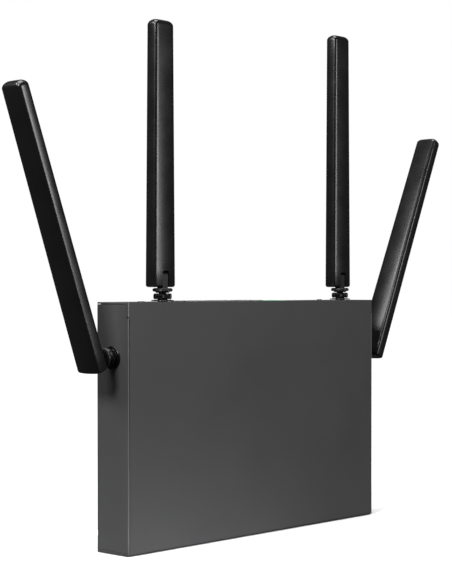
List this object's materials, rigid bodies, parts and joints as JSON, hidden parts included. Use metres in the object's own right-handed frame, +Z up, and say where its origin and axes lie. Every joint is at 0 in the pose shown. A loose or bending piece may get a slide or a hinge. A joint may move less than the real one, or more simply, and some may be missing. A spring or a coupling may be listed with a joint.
{
  "type": "optical network terminal",
  "caption": "Slim optical network terminal in folded dark sheet metal, standing on edge, with folding paddle antennas on its port edge and both side walls.",
  "frame": {"origin": "middle of the bottom edge that the case stands on", "axes": "+Z up towards the port panel, -Y out of the plain front cover, +X along the case to the right seen from the front"},
  "size_m": [0.3896, 0.0293, 0.3229],
  "materials": {
    "case_paint": "fine satin powder coat",
    "antenna_plastic": "satin moulded ABS",
    "black_metal": "black plated",
    "jack_brass": "turned, gold plated",
    "bare_steel": "tin plated",
    "screw_steel": "zinc plated",
    "heatsink_aluminium": "extruded",
    "circuit_board": "solder resist over glass epoxy",
    "black_plastic": "moulded",
    "green_plastic": "moulded, angled-polish colour code",
    "white_plastic": "moulded",
    "clear_plastic": "clear polycarbonate",
    "black_rubber": "matt"
  },
  "bodies": {
    "case": {"chassis_pan": "case_paint", "front_cover": "case_paint", "port_panel": "case_paint", "main_board": "circuit_board", "network_jack_block": "bare_steel", "optical_receptacle": "green_plastic", "optical_transceiver": "bare_steel", "usb_port": "bare_steel", "power_jack": "black_plastic", "power_switch": "black_plastic", "pairing_switch": "black_plastic", "reset_switch": "black_plastic", "processor": "black_plastic", "heatsink": "heatsink_aluminium", "radio_shield_can": "bare_steel", "led_light_pipe": "clear_plastic", "board_screw_lower_left": "screw_steel", "rubber_foot_lower_left": "black_rubber", "board_screw_lower_right": "screw_steel", "rubber_foot_lower_right": "black_rubber", "board_screw_upper_left": "screw_steel", "rubber_foot_upper_left": "black_rubber", "board_screw_upper_right": "screw_steel", "rubber_foot_upper_right": "black_rubber", "cover_screw_left": "screw_steel", "cover_screw_right": "screw_steel", "antenna_left_jack": "jack_brass", "antenna_left_panel_nut": "black_metal", "antenna_left_collar": "black_metal", "antenna_left_pigtail": "black_rubber", "antenna_top_left_jack": "jack_brass", "antenna_top_left_panel_nut": "black_metal", "antenna_top_left_collar": "black_metal", "antenna_top_left_pigtail": "black_rubber", "antenna_top_right_jack": "jack_brass", "antenna_top_right_panel_nut": "black_metal", "antenna_top_right_collar": "black_metal", "antenna_top_right_pigtail": "black_rubber", "antenna_right_jack": "jack_brass", "antenna_right_panel_nut": "black_metal", "antenna_right_collar": "black_metal", "antenna_right_pigtail": "black_rubber"},
    "antenna_left_base": {"antenna_left_base": "antenna_plastic"},
    "antenna_left_blade": {"antenna_left_paddle": "antenna_plastic", "antenna_left_radiator": "circuit_board"},
    "antenna_top_left_base": {"antenna_top_left_base": "antenna_plastic"},
    "antenna_top_left_blade": {"antenna_top_left_paddle": "antenna_plastic", "antenna_top_left_radiator": "circuit_board"},
    "antenna_top_right_base": {"antenna_top_right_base": "antenna_plastic"},
    "antenna_top_right_blade": {"antenna_top_right_paddle": "antenna_plastic", "antenna_top_right_radiator": "circuit_board"},
    "antenna_right_base": {"antenna_right_base": "antenna_plastic"},
    "antenna_right_blade": {"antenna_right_paddle": "antenna_plastic", "antenna_right_radiator": "circuit_board"},
    "power_button_body": {"power_button": "black_plastic"},
    "pairing_button_body": {"pairing_button": "black_plastic"},
    "reset_button_body": {"reset_button": "white_plastic"},
    "optical_dust_plug_body": {"optical_dust_plug": "black_rubber"}
  },
  "joints": [
    {"name": "antenna_left_swivel", "type": "hinge", "parent": "case", "child": "antenna_left_base", "pos_m": [-0.113, 0, 0.113], "axis": [-1, 0, 0], "continuous": true},
    {"name": "antenna_left_fold", "type": "hinge", "parent": "antenna_left_base", "child": "antenna_left_blade", "pos_m": [-0.1286, 0, 0.113], "axis": [0, 1, 0], "range_deg": [-70.2, 19.8]},
    {"name": "antenna_top_left_swivel", "type": "hinge", "parent": "case", "child": "antenna_top_left_base", "pos_m": [-0.0725, 0, 0.145], "axis": [0, 0, 1], "continuous": true},
    {"name": "antenna_top_left_fold", "type": "hinge", "parent": "antenna_top_left_base", "child": "antenna_top_left_blade", "pos_m": [-0.0725, 0, 0.1606], "axis": [1, 0, 0], "range_deg": [0, 90]},
    {"name": "antenna_top_right_swivel", "type": "hinge", "parent": "case", "child": "antenna_top_right_base", "pos_m": [0.0952, 0, 0.145], "axis": [0, 0, -1], "continuous": true},
    {"name": "antenna_top_right_fold", "type": "hinge", "parent": "antenna_top_right_base", "child": "antenna_top_right_blade", "pos_m": [0.0952, 0, 0.1606], "axis": [1, 0, 0], "range_deg": [0, 90]},
    {"name": "antenna_right_swivel", "type": "hinge", "parent": "case", "child": "antenna_right_base", "pos_m": [0.113, 0, 0.113], "axis": [1, 0, 0], "continuous": true},
    {"name": "antenna_right_fold", "type": "hinge", "parent": "antenna_right_base", "child": "antenna_right_blade", "pos_m": [0.1286, 0, 0.113], "axis": [0, -1, 0], "range_deg": [-65.4, 24.6]},
    {"name": "power_button_travel", "type": "slide", "parent": "case", "child": "power_button_body", "axis": [0, 0, 1], "range_m": [0, 0.002]},
    {"name": "pairing_button_press", "type": "slide", "parent": "case", "child": "pairing_button_body", "axis": [0, 0, 1], "range_m": [-0.0005, 0], "stiffness_N_per_m": 300},
    {"name": "reset_button_press", "type": "slide", "parent": "case", "child": "reset_button_body", "axis": [0, 0, 1], "range_m": [-0.0004, 0], "stiffness_N_per_m": 300},
    {"name": "dust_plug_pull", "type": "slide", "parent": "case", "child": "optical_dust_plug_body", "axis": [0, 0, 1], "range_m": [0, 0.012]}
  ]
}
